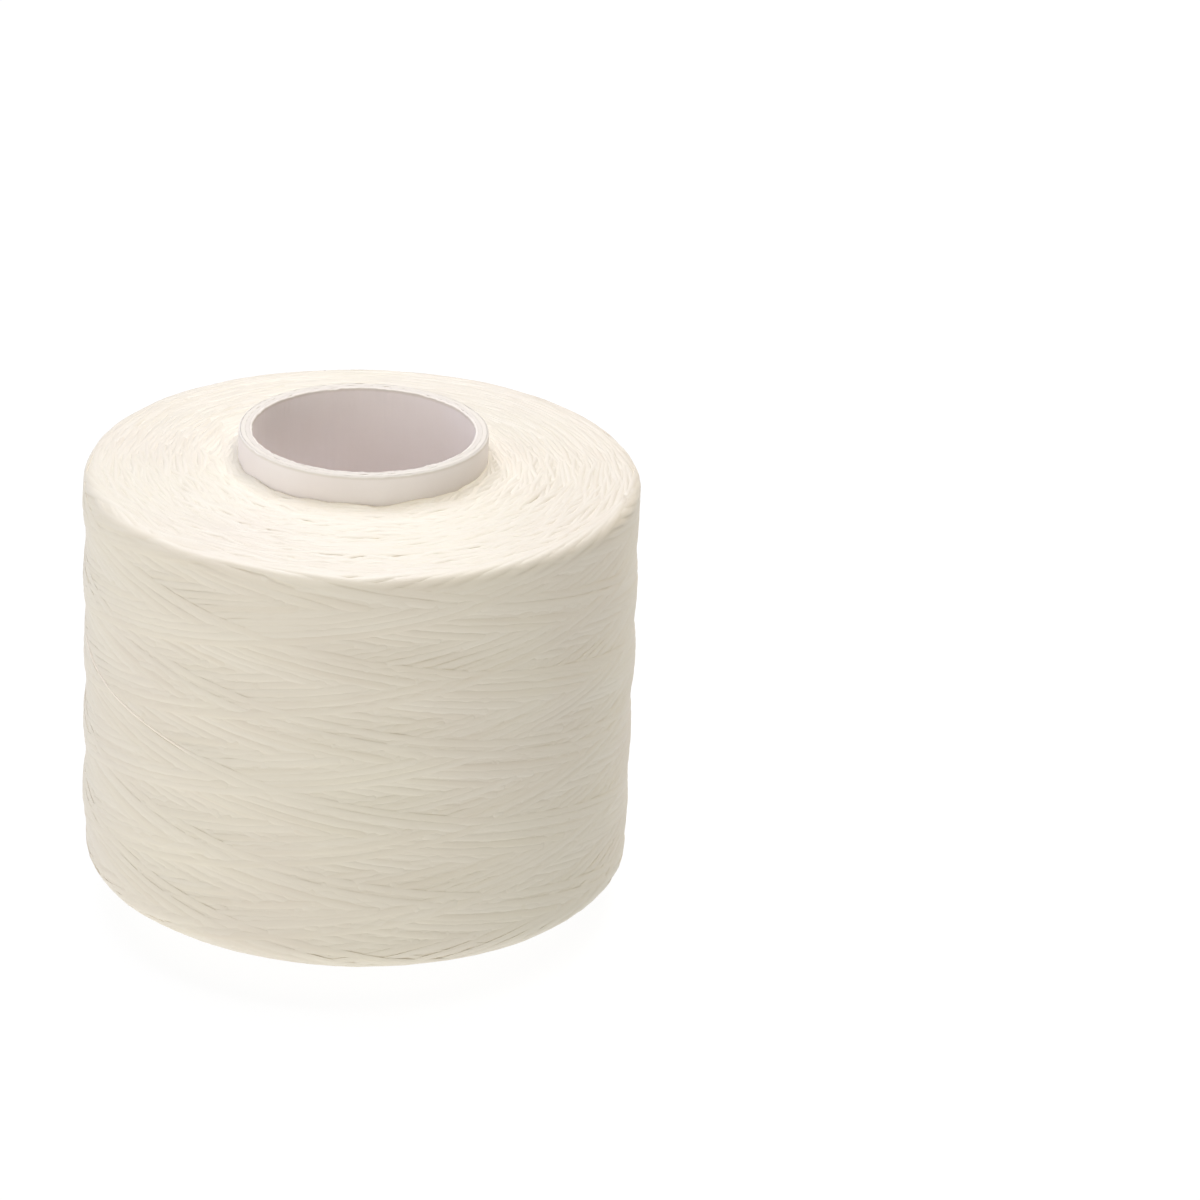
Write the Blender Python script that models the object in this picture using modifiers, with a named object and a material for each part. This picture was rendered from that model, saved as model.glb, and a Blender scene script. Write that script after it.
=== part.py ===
"""Waxed thread spool: a cross-wound package of flat waxed thread on a laminated paper tube.

The tube stands out past both ends of the winding, so the spool rests on the tube's lower rim.
Units are metres and +Z is up. The origin is the centre of the lower rim.
"""

import math

import bmesh
import bpy

# Driving dimensions
BORE_DIAMETER = 0.0319
TUBE_WALL = 0.0019
TUBE_REACH = 0.0057
PACKAGE_RADIUS = 0.0400
PACKAGE_HEIGHT = 0.0615
TOP_SHOULDER = 0.0026
BOTTOM_SHOULDER = 0.0042
END_DOME = 0.0014

# Paper plies from the bore outwards, each with its share of the wall
PLIES = (
    ("tube_bore_liner", 0.16),
    ("tube_inner_ply", 0.34),
    ("tube_outer_ply", 0.34),
    ("tube_outer_wrap", 0.16),
)
PLY_GAP = 0.00002

# Winding, from the tube outwards
BASE_LAYER_BUILD = 0.0012
SURFACE_LAYER_BUILD = 0.0008
BULK_WINDINGS = ("thread_inner_winding", "thread_middle_winding", "thread_outer_winding")
LAYER_GAP = 0.00005

# One flat waxed strand
STRAND_WIDTH = 0.00095
STRAND_THICKNESS = 0.0004

# The first end lies along the tube, trapped under the base layer
FIRST_END_LENGTH = 0.032
FIRST_END_AZIMUTH = math.radians(55)
FIRST_END_CLEARANCE = 0.0001

# The last strand comes down the surface from the top shoulder to where its end is tucked in
LAST_END_AZIMUTH = math.radians(60)
LAST_END_SWEEP = math.radians(385)
LAST_END_DROP_ANGLE = math.radians(10.4)
LAST_END_HEIGHT = 0.0073

# Facets around the axis, and points on each shoulder's quarter round
FACETS = 72
SHOULDER_POINTS = 5
DOME_POINTS = 3

TUBE_RADIUS = BORE_DIAMETER / 2 + TUBE_WALL
TUBE_LENGTH = PACKAGE_HEIGHT + 2 * TUBE_REACH
PACKAGE_BOTTOM = TUBE_REACH
PACKAGE_TOP = TUBE_REACH + PACKAGE_HEIGHT
FACET_ANGLE = math.tau / FACETS

THREAD_COLOUR = (0.85, 0.81, 0.73, 1)
PAPER_COLOUR = (0.80, 0.77, 0.75, 1)
BOARD_COLOUR = (0.72, 0.68, 0.65, 1)


def clear_scene():
    for thing in list(bpy.data.objects):
        bpy.data.objects.remove(thing, do_unlink=True)


def new_collection(name):
    group = bpy.data.collections.new(name)
    bpy.context.scene.collection.children.link(group)
    return group


def new_material(name, colour, roughness):
    material = bpy.data.materials.new(name)
    material.use_nodes = True
    shader = material.node_tree.nodes["Principled BSDF"]
    shader.inputs["Base Color"].default_value = colour
    shader.inputs["Roughness"].default_value = roughness
    shader.inputs["Metallic"].default_value = 0
    material.diffuse_color = colour
    return material


def turned_ring(name, outline, material, group):
    """A closed outline of (radius, height) points, turned about Z.

    The outline runs along the top from the bore outwards and then down the outer side.
    """
    mesh = bpy.data.meshes.new(name)
    points = [(radius, 0, height) for radius, height in outline]
    edges = [(i, (i + 1) % len(points)) for i in range(len(points))]
    mesh.from_pydata(points, edges, [])
    ring = bpy.data.objects.new(name, mesh)
    mesh.materials.append(material)
    group.objects.link(ring)
    turn = ring.modifiers.new("turn", "SCREW")
    turn.axis = "Z"
    turn.angle = math.tau
    turn.steps = FACETS
    turn.render_steps = FACETS
    turn.use_merge_vertices = True
    turn.merge_threshold = 0.000001
    turn.use_smooth_shade = True
    return ring


def end_rise(radius, shoulder):
    """How far an end face stands above its outer edge's plane at this radius."""
    flat_edge = PACKAGE_RADIUS - shoulder
    if radius <= flat_edge:
        return END_DOME * (flat_edge - radius) / (flat_edge - TUBE_RADIUS)
    across = min(radius - flat_edge, shoulder)
    return math.sqrt(shoulder**2 - across**2) - shoulder


def end_radii(inner, outer, shoulder):
    """Radii at which an end face has points between two radii of the winding."""
    flat_edge = PACKAGE_RADIUS - shoulder
    radii = {inner, outer}
    for step in range(1, DOME_POINTS):
        radii.add(TUBE_RADIUS + (flat_edge - TUBE_RADIUS) * step / DOME_POINTS)
    for step in range(SHOULDER_POINTS):
        radii.add(flat_edge + shoulder * math.sin(math.pi / 2 * step / SHOULDER_POINTS))
    return sorted(radius for radius in radii if inner <= radius <= outer)


def winding_layer(name, inner, outer, material, group):
    top = [
        (radius, PACKAGE_TOP + end_rise(radius, TOP_SHOULDER))
        for radius in end_radii(inner, outer, TOP_SHOULDER)
    ]
    bottom = [
        (radius, PACKAGE_BOTTOM - end_rise(radius, BOTTOM_SHOULDER))
        for radius in end_radii(inner, outer, BOTTOM_SHOULDER)
    ]
    return turned_ring(name, top + bottom[::-1], material, group)


def build_tube(paper, board, group):
    inner = BORE_DIAMETER / 2
    for name, share in PLIES:
        outer = inner + share * TUBE_WALL
        skin = name.endswith(("liner", "wrap"))
        outline = [
            (inner, TUBE_LENGTH),
            (outer - PLY_GAP, TUBE_LENGTH),
            (outer - PLY_GAP, 0),
            (inner, 0),
        ]
        turned_ring(name, outline, paper if skin else board, group)
        inner = outer


def build_winding(thread, group):
    """The base layer, three bulk windings and the surface layer, one inside the next."""
    start = TUBE_RADIUS + LAYER_GAP
    bulk_start = TUBE_RADIUS + BASE_LAYER_BUILD
    surface_start = PACKAGE_RADIUS - SURFACE_LAYER_BUILD
    base = winding_layer("thread_base_layer", start, bulk_start - LAYER_GAP, thread, group)
    build = (surface_start - bulk_start) / len(BULK_WINDINGS)
    for index, name in enumerate(BULK_WINDINGS):
        inner = bulk_start + index * build
        winding_layer(name, inner, inner + build - LAYER_GAP, thread, group)
    winding_layer("thread_surface_layer", surface_start, PACKAGE_RADIUS, thread, group)
    return base


def strand_block(name, grow, group):
    """A straight length of flat strand standing against the tube, grown on every side."""
    mesh = bpy.data.meshes.new(name)
    shape = bmesh.new()
    bmesh.ops.create_cube(shape, size=1)
    sizes = (
        STRAND_THICKNESS + 2 * grow,
        STRAND_WIDTH + 2 * grow,
        FIRST_END_LENGTH + 2 * grow,
    )
    bmesh.ops.scale(shape, vec=sizes, verts=shape.verts)
    shape.to_mesh(mesh)
    shape.free()
    block = bpy.data.objects.new(name, mesh)
    reach = TUBE_RADIUS + LAYER_GAP + FIRST_END_CLEARANCE + STRAND_THICKNESS / 2
    block.location = (
        reach * math.cos(FIRST_END_AZIMUTH),
        reach * math.sin(FIRST_END_AZIMUTH),
        PACKAGE_BOTTOM + PACKAGE_HEIGHT / 2,
    )
    block.rotation_euler = (0, 0, FIRST_END_AZIMUTH)
    group.objects.link(block)
    return block


def build_first_end(base, thread, group, cutters):
    """The thread's first end, in a groove that the base layer leaves around it."""
    first_end = strand_block("thread_first_end", 0, group)
    first_end.data.materials.append(thread)
    groove = strand_block("first_end_groove", 2 * FIRST_END_CLEARANCE, cutters)
    groove.hide_render = True
    groove.display_type = "WIRE"
    cut = base.modifiers.new("groove", "BOOLEAN")
    cut.operation = "DIFFERENCE"
    cut.solver = "EXACT"
    cut.object = groove


def build_last_end(thread, group):
    """The last strand, a flat helix on the surface layer, with its points on the facets' edges."""
    radius = PACKAGE_RADIUS + LAYER_GAP + STRAND_THICKNESS / 2
    last_facet = round(LAST_END_AZIMUTH / FACET_ANGLE)
    steps = round(LAST_END_SWEEP / FACET_ANGLE)
    rise = PACKAGE_RADIUS * FACET_ANGLE * math.tan(LAST_END_DROP_ANGLE)
    curve = bpy.data.curves.new("thread_last_end", "CURVE")
    curve.dimensions = "3D"
    curve.twist_mode = "Z_UP"
    curve.extrude = (STRAND_WIDTH - STRAND_THICKNESS) / 2
    curve.bevel_depth = STRAND_THICKNESS / 2
    curve.bevel_resolution = 1
    curve.use_fill_caps = True
    spline = curve.splines.new("POLY")
    spline.points.add(steps)
    for step, point in enumerate(spline.points):
        azimuth = (last_facet - step) * FACET_ANGLE
        height = PACKAGE_BOTTOM + LAST_END_HEIGHT + step * rise
        point.co = (radius * math.cos(azimuth), radius * math.sin(azimuth), height, 1)
    curve.materials.append(thread)
    strand = bpy.data.objects.new("thread_last_end", curve)
    group.objects.link(strand)


def main():
    clear_scene()
    group = new_collection("waxed_thread_spool")
    cutters = new_collection("cutters")
    thread = new_material("waxed_thread", THREAD_COLOUR, 0.5)
    paper = new_material("white_paper", PAPER_COLOUR, 0.8)
    board = new_material("paper_board", BOARD_COLOUR, 0.85)
    build_tube(paper, board, group)
    base = build_winding(thread, group)
    build_first_end(base, thread, group, cutters)
    build_last_end(thread, group)


main()
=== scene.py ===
"""Looks of the waxed thread spool.

The whole thread is wound by a calculation, stroke by stroke. The strands that end up in sight
become geometry over one solid core, on a laminated paper tube. Lengths are in millimetres, unless
a comment says otherwise, and angles are in radians.
"""

import math

import bpy
import numpy as np
from mathutils import Matrix, Vector


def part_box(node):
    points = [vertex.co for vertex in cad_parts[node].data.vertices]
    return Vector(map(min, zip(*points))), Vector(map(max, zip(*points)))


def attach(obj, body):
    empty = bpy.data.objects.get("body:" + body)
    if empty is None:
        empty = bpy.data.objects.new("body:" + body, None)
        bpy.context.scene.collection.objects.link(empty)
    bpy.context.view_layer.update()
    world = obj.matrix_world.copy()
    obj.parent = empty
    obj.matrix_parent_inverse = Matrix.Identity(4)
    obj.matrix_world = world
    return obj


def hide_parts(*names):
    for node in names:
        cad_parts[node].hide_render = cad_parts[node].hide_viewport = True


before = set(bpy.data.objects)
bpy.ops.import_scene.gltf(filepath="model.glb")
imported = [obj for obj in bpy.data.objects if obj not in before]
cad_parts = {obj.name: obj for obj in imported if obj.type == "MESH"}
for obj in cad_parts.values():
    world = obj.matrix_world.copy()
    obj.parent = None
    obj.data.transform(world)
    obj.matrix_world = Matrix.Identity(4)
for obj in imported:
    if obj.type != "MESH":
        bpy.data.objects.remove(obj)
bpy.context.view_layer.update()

# ---------------------------------------------------------------- the package and its thread
MM = 0.001
LOWER, UPPER = 0, 1
# Seeds of the random draws
WINDING_SEED = 3
COLLAR_SEED = 12
TONE_SEED = 8
PAPER_SEED = 5


def node_reach(node):
    """Largest radius, lowest and highest point of a CAD node that is turned about Z."""
    low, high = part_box(node)
    return high.x / MM, low.z / MM, high.z / MM


PACKAGE_RADIUS = node_reach("thread_surface_layer")[0]
TUBE_RADIUS, TUBE_LOW, TUBE_HIGH = node_reach("tube_outer_wrap")
BORE_RADIUS = 15.95
# How far an end face rises towards the tube, from the flat band at its edge
END_DOME = 1.4
FLAT_BAND = 3
FACE_LOW = node_reach("thread_base_layer")[1] + END_DOME
FACE_HIGH = node_reach("thread_base_layer")[2] - END_DOME

# Radius of the rounding at each end
SHOULDER = {UPPER: 2.6, LOWER: 4.2}
# How far a strand dips inwards over the end face where it turns round, least and most, and how
# far below its rest on the tube a dip may aim
DIP = {UPPER: (0.7, 2.4), LOWER: (1.0, 3.4)}
DIP_PAST_REST = 0.05

# The flat waxed thread, as the machine lays it
STRAND_WIDTH = 0.99
STRAND_THICKNESS = 0.40
HALF_THICKNESS = STRAND_THICKNESS / 2
STRAND_PITCH = 0.95

WINDING_LAYERS = (
    "thread_base_layer",
    "thread_inner_winding",
    "thread_middle_winding",
    "thread_outer_winding",
    "thread_surface_layer",
)

# The winding machine: turns of the spool for each double stroke of the thread guide, share of a
# stroke spent turning round at each end, and thickness of a layer as a share of two strands
TURNS_PER_DOUBLE_STROKE = 2.75
TURN_ROUND = 0.045
LAYER_PACKING = 0.97
# Where the thread's last end lies: its angle round the spool, and its height over the lower face
LAST_END_AZIMUTH = math.radians(60)
LAST_END_ABOVE_FACE = 7.3

# Scatter of the turn-rounds' heights
REACH_SCATTER = 0.12
# A strand's wander off its path, and the samples from one change of it to the next. The wander
# counts in full from one part in WANDER_FADE of a stroke away from a turn-round.
WANDER = 0.035
WANDER_SPACING = 60
WANDER_FADE = 15

# How far a strand rides above the mean of what it lies on, as shares of its thickness, and the
# share of this that counts on an end face
LOWEST_RIDE, HIGHEST_RIDE = -0.6, 1.2
MEAN_RIDE = 0.25
LOWEST_END_RIDE = -0.3
END_RIDE_SHARE = 0.5
# Strokes until the ride counts in full, strokes between two readings of the mean, and the rows
# each way that the mean is smoothed over
RIDE_STARTS = 60
MEAN_EVERY = 8
MEAN_BLUR = 6
# A taut strand bridges hollows: samples it reaches over, samples it bends within, share it climbs
BRIDGE_REACH = 4
BRIDGE_BLUR = 7
BRIDGE_SHARE = 0.8
# Sine of the lean at which a strand starts to lie on an end face, and how much more it takes
# until it does in full
END_LEAN = 0.5
END_LEAN_SPAN = 0.3

# Maps of the package's surface: the side by angle and height, each end by angle and radius
COLUMNS = 900
ROW = 0.2
ROW_MARGIN = 3
ROW_START = FACE_LOW - ROW_MARGIN
ROWS = int((FACE_HIGH - FACE_LOW + 2 * ROW_MARGIN) / ROW)
RING = 0.15
RING_MARGIN = 1
RING_START = TUBE_RADIUS - RING_MARGIN
RINGS = int((PACKAGE_RADIUS - TUBE_RADIUS + 2 * RING_MARGIN) / RING)
EMPTY = -50.0
# Cells across that a strand may cover, and the least share of its width that it covers on the side
FOOTPRINT = np.arange(-4, 5)
LEAST_FOOTPRINT = 0.35

# A strand shows on the side where this share of half its thickness above its middle reaches the
# map's surface, and on an end where its top comes this near to it, in strand thicknesses. Those
# that lie deeper on the side than the search depth, or whose lean has a smaller sine than
# SEARCH_LEAN on an end, aren't looked at.
SIDE_SHOWS = 0.8
END_SHOWS = 0.35
SEARCH_DEPTH = 2
SEARCH_LEAN = 0.3
SEARCH_CELLS = range(-3, 4)


# ---------------------------------------------------------------- small helpers
def smooth(values, reach):
    """Weighted running mean over reach samples each way."""
    kernel = np.hanning(2 * reach + 3)[1:-1]
    kernel /= kernel.sum()
    return np.convolve(np.pad(values, reach, mode="edge"), kernel, "valid")


def running_highest(values, reach):
    """Highest of every second sample over reach samples each way."""
    padded = np.pad(values, reach, mode="edge")
    return np.max([padded[i : i + len(values)] for i in range(0, 2 * reach + 1, 2)], axis=0)


def waves(rng, angles, counts, size):
    """A closed irregular wave round the spool, with one part for each count of crests."""
    total = np.zeros(len(angles))
    for count in counts:
        phase = rng.uniform(0, 2 * np.pi)
        total += rng.normal(0, 1) * np.cos(count * angles + phase) / math.sqrt(len(counts))
    return total * size


def nearest_row(z):
    """Row of the side's map nearest to a height."""
    return np.round((z - ROW_START) / ROW).astype(int)


def nearest_ring(r):
    """Ring of an end's map nearest to a radius."""
    return np.round((r - RING_START) / RING).astype(int)


def nearest_end(z):
    """The end that a height is nearer to, LOWER or UPPER."""
    return (z > (FACE_LOW + FACE_HIGH) / 2).astype(int)


def above_face(z, end):
    """Height of points over the edge's plane of their end face, outwards being positive."""
    return np.where(end == UPPER, z - FACE_HIGH, FACE_LOW - z)


def column_angle(column, thread):
    """Angle of a map's column. The thread's last sample lies at LAST_END_AZIMUTH."""
    return 2 * np.pi * (column - thread[-1, 0]) / COLUMNS + LAST_END_AZIMUTH


# ---------------------------------------------------------------- winding
def dome_rise(radius):
    """How far an end face stands above its edge's plane at a radius."""
    flat_edge = PACKAGE_RADIUS - FLAT_BAND
    return END_DOME * np.clip((flat_edge - radius) / (flat_edge - TUBE_RADIUS), 0, 1)


def shoulder_drop(shoulder, height):
    """Radius lost on a rounded shoulder at this height above where the rounding starts."""
    return shoulder - np.sqrt(shoulder**2 - height**2)


def plan_winding():
    """Turns of the spool in one stroke, and the number of strokes that fill the package."""
    travel = (FACE_HIGH - FACE_LOW - STRAND_WIDTH) / (1 - TURN_ROUND)
    slope = travel / (TURNS_PER_DOUBLE_STROKE * math.pi * PACKAGE_RADIUS)
    around = 2 * math.pi * PACKAGE_RADIUS * math.sin(math.atan(slope))
    gain = STRAND_PITCH / around
    turns = (TURNS_PER_DOUBLE_STROKE + gain / 4) / 2
    build = PACKAGE_RADIUS - TUBE_RADIUS
    strokes = 2 * int(build / (2 * STRAND_THICKNESS * LAYER_PACKING) / gain)
    return turns, strokes


def stroke_height(time):
    """Share of the stroke travelled, 0 to 1, at each time, with rounded turns at both ends."""
    height = time.copy()
    start, end = time < TURN_ROUND, time > 1 - TURN_ROUND
    height[start] = TURN_ROUND / 2 + time[start] ** 2 / (2 * TURN_ROUND)
    height[end] = 1 - TURN_ROUND / 2 - (1 - time[end]) ** 2 / (2 * TURN_ROUND)
    return (height - TURN_ROUND / 2) / (1 - TURN_ROUND)


def face_heights(radius, dips):
    """Height of a strand's middle on the lower and the upper end face, where it turns round."""
    low = FACE_LOW - dome_rise(radius - dips[LOWER]) + HALF_THICKNESS
    high = FACE_HIGH + dome_rise(radius - dips[UPPER]) - HALF_THICKNESS
    return low, high


def stroke_reach(faces, dips, scatter):
    """How far down and up a stroke reaches, where it dips inwards over the shoulders."""
    low = faces[LOWER] + shoulder_drop(SHOULDER[LOWER], SHOULDER[LOWER] - dips[LOWER])
    high = faces[UPPER] - shoulder_drop(SHOULDER[UPPER], SHOULDER[UPPER] - dips[UPPER])
    return low + scatter[LOWER], high + scatter[UPPER]


def wander(rng, samples):
    """A strand's small, slow wander off its path."""
    knots = samples // WANDER_SPACING + 3
    slow = np.interp(
        np.linspace(0, knots - 1, samples), np.arange(knots), rng.normal(0, WANDER, knots)
    )
    return slow + rng.normal(0, WANDER)


def over_shoulders(radius, z, faces):
    """Radius of a stroke's samples, and the lean of its flat face over the rounded shoulders."""
    short_of_top = 0.02
    up, down = SHOULDER[UPPER], SHOULDER[LOWER]
    above = np.clip(z - (faces[UPPER] - up), 0, up - short_of_top)
    below = np.clip(faces[LOWER] + down - z, 0, down - short_of_top)
    r = radius - shoulder_drop(up, above) - shoulder_drop(down, below)
    lean = np.arcsin(above / up) - np.arcsin(below / down)
    return np.maximum(r, TUBE_RADIUS + HALF_THICKNESS), lean


def beneath_on_side(spot, z, lean):
    """Cells of the side's map under each sample, and how far across the strand each one is."""
    rows = np.clip(nearest_row(z)[:, None] + FOOTPRINT, 0, ROWS - 1)
    reach = STRAND_WIDTH / 2 * np.maximum(np.cos(lean), LEAST_FOOTPRINT)
    across = (ROW_START + rows * ROW - z[:, None]) / reach[:, None]
    return (spot[:, None], rows), across


def beneath_on_end(end, spot, r, lean):
    """Cells of an end's map under each sample, and how far across the strand each one is."""
    rings = np.clip(nearest_ring(r)[:, None] + FOOTPRINT, 0, RINGS - 1)
    reach = STRAND_WIDTH / 2 * np.abs(np.sin(lean))
    across = (RING_START + rings * RING - r[:, None]) / reach[:, None]
    return (end[:, None], spot[:, None], rings), across


def support(surface, cells, across, nothing):
    """Highest point of a map that each sample rests on."""
    return np.where(np.abs(across) < 1, surface[cells], nothing).max(axis=1)


def lay(surface, cells, across, middle):
    """Raises a map to the domed top of a strand whose middle lies at this level."""
    crown = HALF_THICKNESS * np.sqrt(np.clip(1 - across**4, 0, 1))
    held = surface[cells]
    raised = np.maximum(held, middle[:, None] + crown)
    surface[cells] = np.where(np.abs(across) < 1, raised, held)


def wind_thread():
    """Lays every stroke of the thread on the package, from the tube outwards.

    Returns one row for each sample of the thread: its column (angle), height, radius, lean of
    its flat face out of the radial direction, and stroke number; then the finished maps.
    """
    rng = np.random.default_rng(WINDING_SEED)
    turns, strokes = plan_winding()
    build = PACKAGE_RADIUS - TUBE_RADIUS
    side = np.full((COLUMNS, ROWS), TUBE_RADIUS)
    ends = np.full((2, COLUMNS, RINGS), EMPTY)
    all_dips = [rng.uniform(*DIP[turn % 2]) for turn in range(strokes + 1)]
    all_scatter = rng.normal(0, REACH_SCATTER, strokes + 1)
    laid = []
    turned = 0.0
    for stroke in range(strokes):
        radius = TUBE_RADIUS + HALF_THICKNESS + (build - STRAND_THICKNESS) * stroke / (strokes - 1)
        column = np.arange(round(turned * COLUMNS), round((turned + turns) * COLUMNS))
        turned += turns
        time = (column - column[0] + 0.5) / len(column)

        # The stroke's path. Each stroke starts at the turn-round of its own number, and the
        # even ones are at the lower end.
        upward = stroke % 2 == 0
        around = (stroke, stroke + 1) if upward else (stroke + 1, stroke)
        most_dip = radius - TUBE_RADIUS - HALF_THICKNESS + DIP_PAST_REST
        dips = [min(all_dips[turn], most_dip) for turn in around]
        scatter = [all_scatter[turn] for turn in around]
        faces = face_heights(radius, dips)
        low, high = stroke_reach(faces, dips, scatter)
        share = stroke_height(time if upward else 1 - time)
        z = low + (high - low) * share
        from_turn = np.minimum(share, 1 - share)
        z += wander(rng, len(column)) * np.clip(from_turn * WANDER_FADE, 0, 1)
        if stroke == strokes - 1:
            kept = z > FACE_LOW + LAST_END_ABOVE_FACE
            column, z = column[kept], z[kept]
        r, lean = over_shoulders(radius, z, faces)
        spot = column % COLUMNS

        # What it rides on along the side
        side_cells, side_across = beneath_on_side(spot, z, lean)
        if stroke % MEAN_EVERY == 0:
            mean = smooth(side.mean(axis=0), MEAN_BLUR)
        ride = support(side, side_cells, side_across, 0)
        ride -= mean[np.clip(nearest_row(z), 0, ROWS - 1)]
        ride = np.clip(ride, LOWEST_RIDE * STRAND_THICKNESS, HIGHEST_RIDE * STRAND_THICKNESS)
        ride = (ride - MEAN_RIDE * STRAND_THICKNESS) * min(stroke / RIDE_STARTS, 1)

        # What it rides on over an end face
        on_end = np.nonzero(np.abs(np.sin(lean)) > END_LEAN)[0]
        end = (lean[on_end] > 0).astype(int)
        weight = np.clip((np.abs(np.sin(lean[on_end])) - END_LEAN) / END_LEAN_SPAN, 0, 1)
        end_cells, end_across = beneath_on_end(end, spot[on_end], r[on_end], lean[on_end])
        top = support(ends, end_cells, end_across, EMPTY)
        end_ride = np.where(top > EMPTY, top - above_face(z[on_end], end) - HALF_THICKNESS, 0)
        lowest, highest = LOWEST_END_RIDE * STRAND_THICKNESS, HIGHEST_RIDE * STRAND_THICKNESS
        end_ride = np.clip(end_ride, lowest, highest) * END_RIDE_SHARE
        ride[on_end] += (end_ride - ride[on_end]) * weight

        # It bridges the hollows and raises the maps
        ride = smooth(running_highest(ride, BRIDGE_REACH), BRIDGE_BLUR) * BRIDGE_SHARE
        r += ride * np.cos(lean)
        z += ride * np.sin(lean)
        lay(side, side_cells, side_across, r)
        lay(ends, end_cells, end_across, above_face(z[on_end], end))
        number = np.full(len(column), stroke)
        laid.append(np.stack([column, z, r, lean, number], axis=1))
    return np.concatenate(laid), side, ends


def seen(thread, side, ends):
    """Which samples of the thread lie at the finished package's surface."""
    column, z, r, lean, _ = thread.T
    shows = np.zeros(len(thread), bool)
    spot = column.astype(int) % COLUMNS
    row = np.clip(nearest_row(z), 0, ROWS - 1)
    near = np.nonzero(r > side[spot, row] - SEARCH_DEPTH * STRAND_THICKNESS)[0]
    for offset in SEARCH_CELLS:
        rows = np.clip(row[near] + offset, 0, ROWS - 1)
        inside = np.abs(ROW_START + rows * ROW - z[near]) < STRAND_WIDTH / 2
        shows[near] |= inside & (r[near] + SIDE_SHOWS * HALF_THICKNESS >= side[spot[near], rows])
    near = np.nonzero(np.abs(np.sin(lean)) > SEARCH_LEAN)[0]
    end = (lean[near] > 0).astype(int)
    top = above_face(z[near], end) + HALF_THICKNESS
    ring = nearest_ring(r[near])
    reach = STRAND_WIDTH / 2 * np.abs(np.sin(lean[near]))
    for offset in SEARCH_CELLS:
        rings = np.clip(ring + offset, 0, RINGS - 1)
        inside = np.abs(RING_START + rings * RING - r[near]) < reach
        level = ends[end, spot[near], rings]
        shows[near] |= inside & (top >= level - END_SHOWS * STRAND_THICKNESS)
    return shows


# ---------------------------------------------------------------- pressing the winding flush
# The strand as it spreads under pressure, on the side and on the end faces
SPREAD_WIDTH = {"side": 1.34, "end": 1.12}
SPREAD_THICKNESS = {"side": 0.10, "end": 0.25}
# Share of its relief that a strand keeps when it is pressed flush, the most relief that counts
# towards this, and the farthest that a strand is moved
SIDE_RELIEF = 0.06
END_RELIEF = 0.35
MOST_PROUD = 0.7
MOST_PRESSED = 1
# The finished side keeps soft waves where one band of strands lies over another
BAND_WAVES = 1.6
DEEPEST_HOLLOW = 0.5
# Blur that leaves those waves, in cells round the spool and across them
SIDE_BLUR = (9, 9)
END_BLUR = (9, 8)
# The winding climbs a little against the tube, more in some places than in others
COLLAR_RISE = 0.5
COLLAR_REACH = 1.1
COLLAR_UNEVENNESS = 0.5
COLLAR_CRESTS = range(5, 30)


def soften(surface, around_reach, across_reach):
    """A map of the surface, blurred. The angle wraps round; the other way is mirrored."""
    mirrored = np.concatenate([surface, surface[:, ::-1]], axis=1)
    around = np.fft.fftfreq(mirrored.shape[0])[:, None] * around_reach
    across = np.fft.rfftfreq(mirrored.shape[1])[None, :] * across_reach
    ripples = np.fft.rfft2(mirrored) * np.exp(-2 * math.pi**2 * (around**2 + across**2))
    return np.fft.irfft2(ripples, mirrored.shape)[:, : surface.shape[1]]


def flush_maps(side, ends):
    """The finished side and end faces without the relief of single strands."""
    profile = np.median(side, axis=0)
    hollow = np.clip(side - profile, -DEEPEST_HOLLOW, DEEPEST_HOLLOW)
    flush_side = profile + BAND_WAVES * soften(hollow, *SIDE_BLUR)
    bare = ends < EMPTY / 2
    level = np.where(bare, 0, ends).sum(axis=1) / np.maximum((~bare).sum(axis=1), 1)
    level = level[:, None, :]
    relief = np.where(bare, 0, np.clip(ends - level, -DEEPEST_HOLLOW, DEEPEST_HOLLOW))
    flush_ends = level + np.stack([soften(relief[end], *END_BLUR) for end in (LOWER, UPPER)])
    rng = np.random.default_rng(COLLAR_SEED)
    angles = np.linspace(0, 2 * np.pi, COLUMNS, endpoint=False)
    from_tube = np.maximum(RING_START + np.arange(RINGS) * RING - TUBE_RADIUS, 0)
    fading = np.exp(-from_tube / COLLAR_REACH)
    for end in (LOWER, UPPER):
        climb = COLLAR_RISE * (1 + waves(rng, angles, COLLAR_CRESTS, COLLAR_UNEVENNESS))
        flush_ends[end] += climb[:, None] * fading
    return flush_side, flush_ends


def surface_way(r, z):
    """Outward direction of the finished package's surface near a point: radial part, Z part."""
    end = nearest_end(z)
    shoulder = np.where(end == UPPER, SHOULDER[UPPER], SHOULDER[LOWER])
    out = np.maximum(r - (PACKAGE_RADIUS - shoulder), 1e-6)
    up = np.maximum(above_face(z, end) + shoulder, 0)
    size = np.hypot(out, up)
    return out / size, up / size * np.where(end == UPPER, 1, -1)


def pressing(proud, relief):
    """How far in a strand is pressed that stands this proud and keeps this share of its relief."""
    kept = relief * np.clip(proud, -MOST_PROUD, MOST_PROUD)
    return np.clip(proud, -MOST_PRESSED, MOST_PRESSED) - kept


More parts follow.
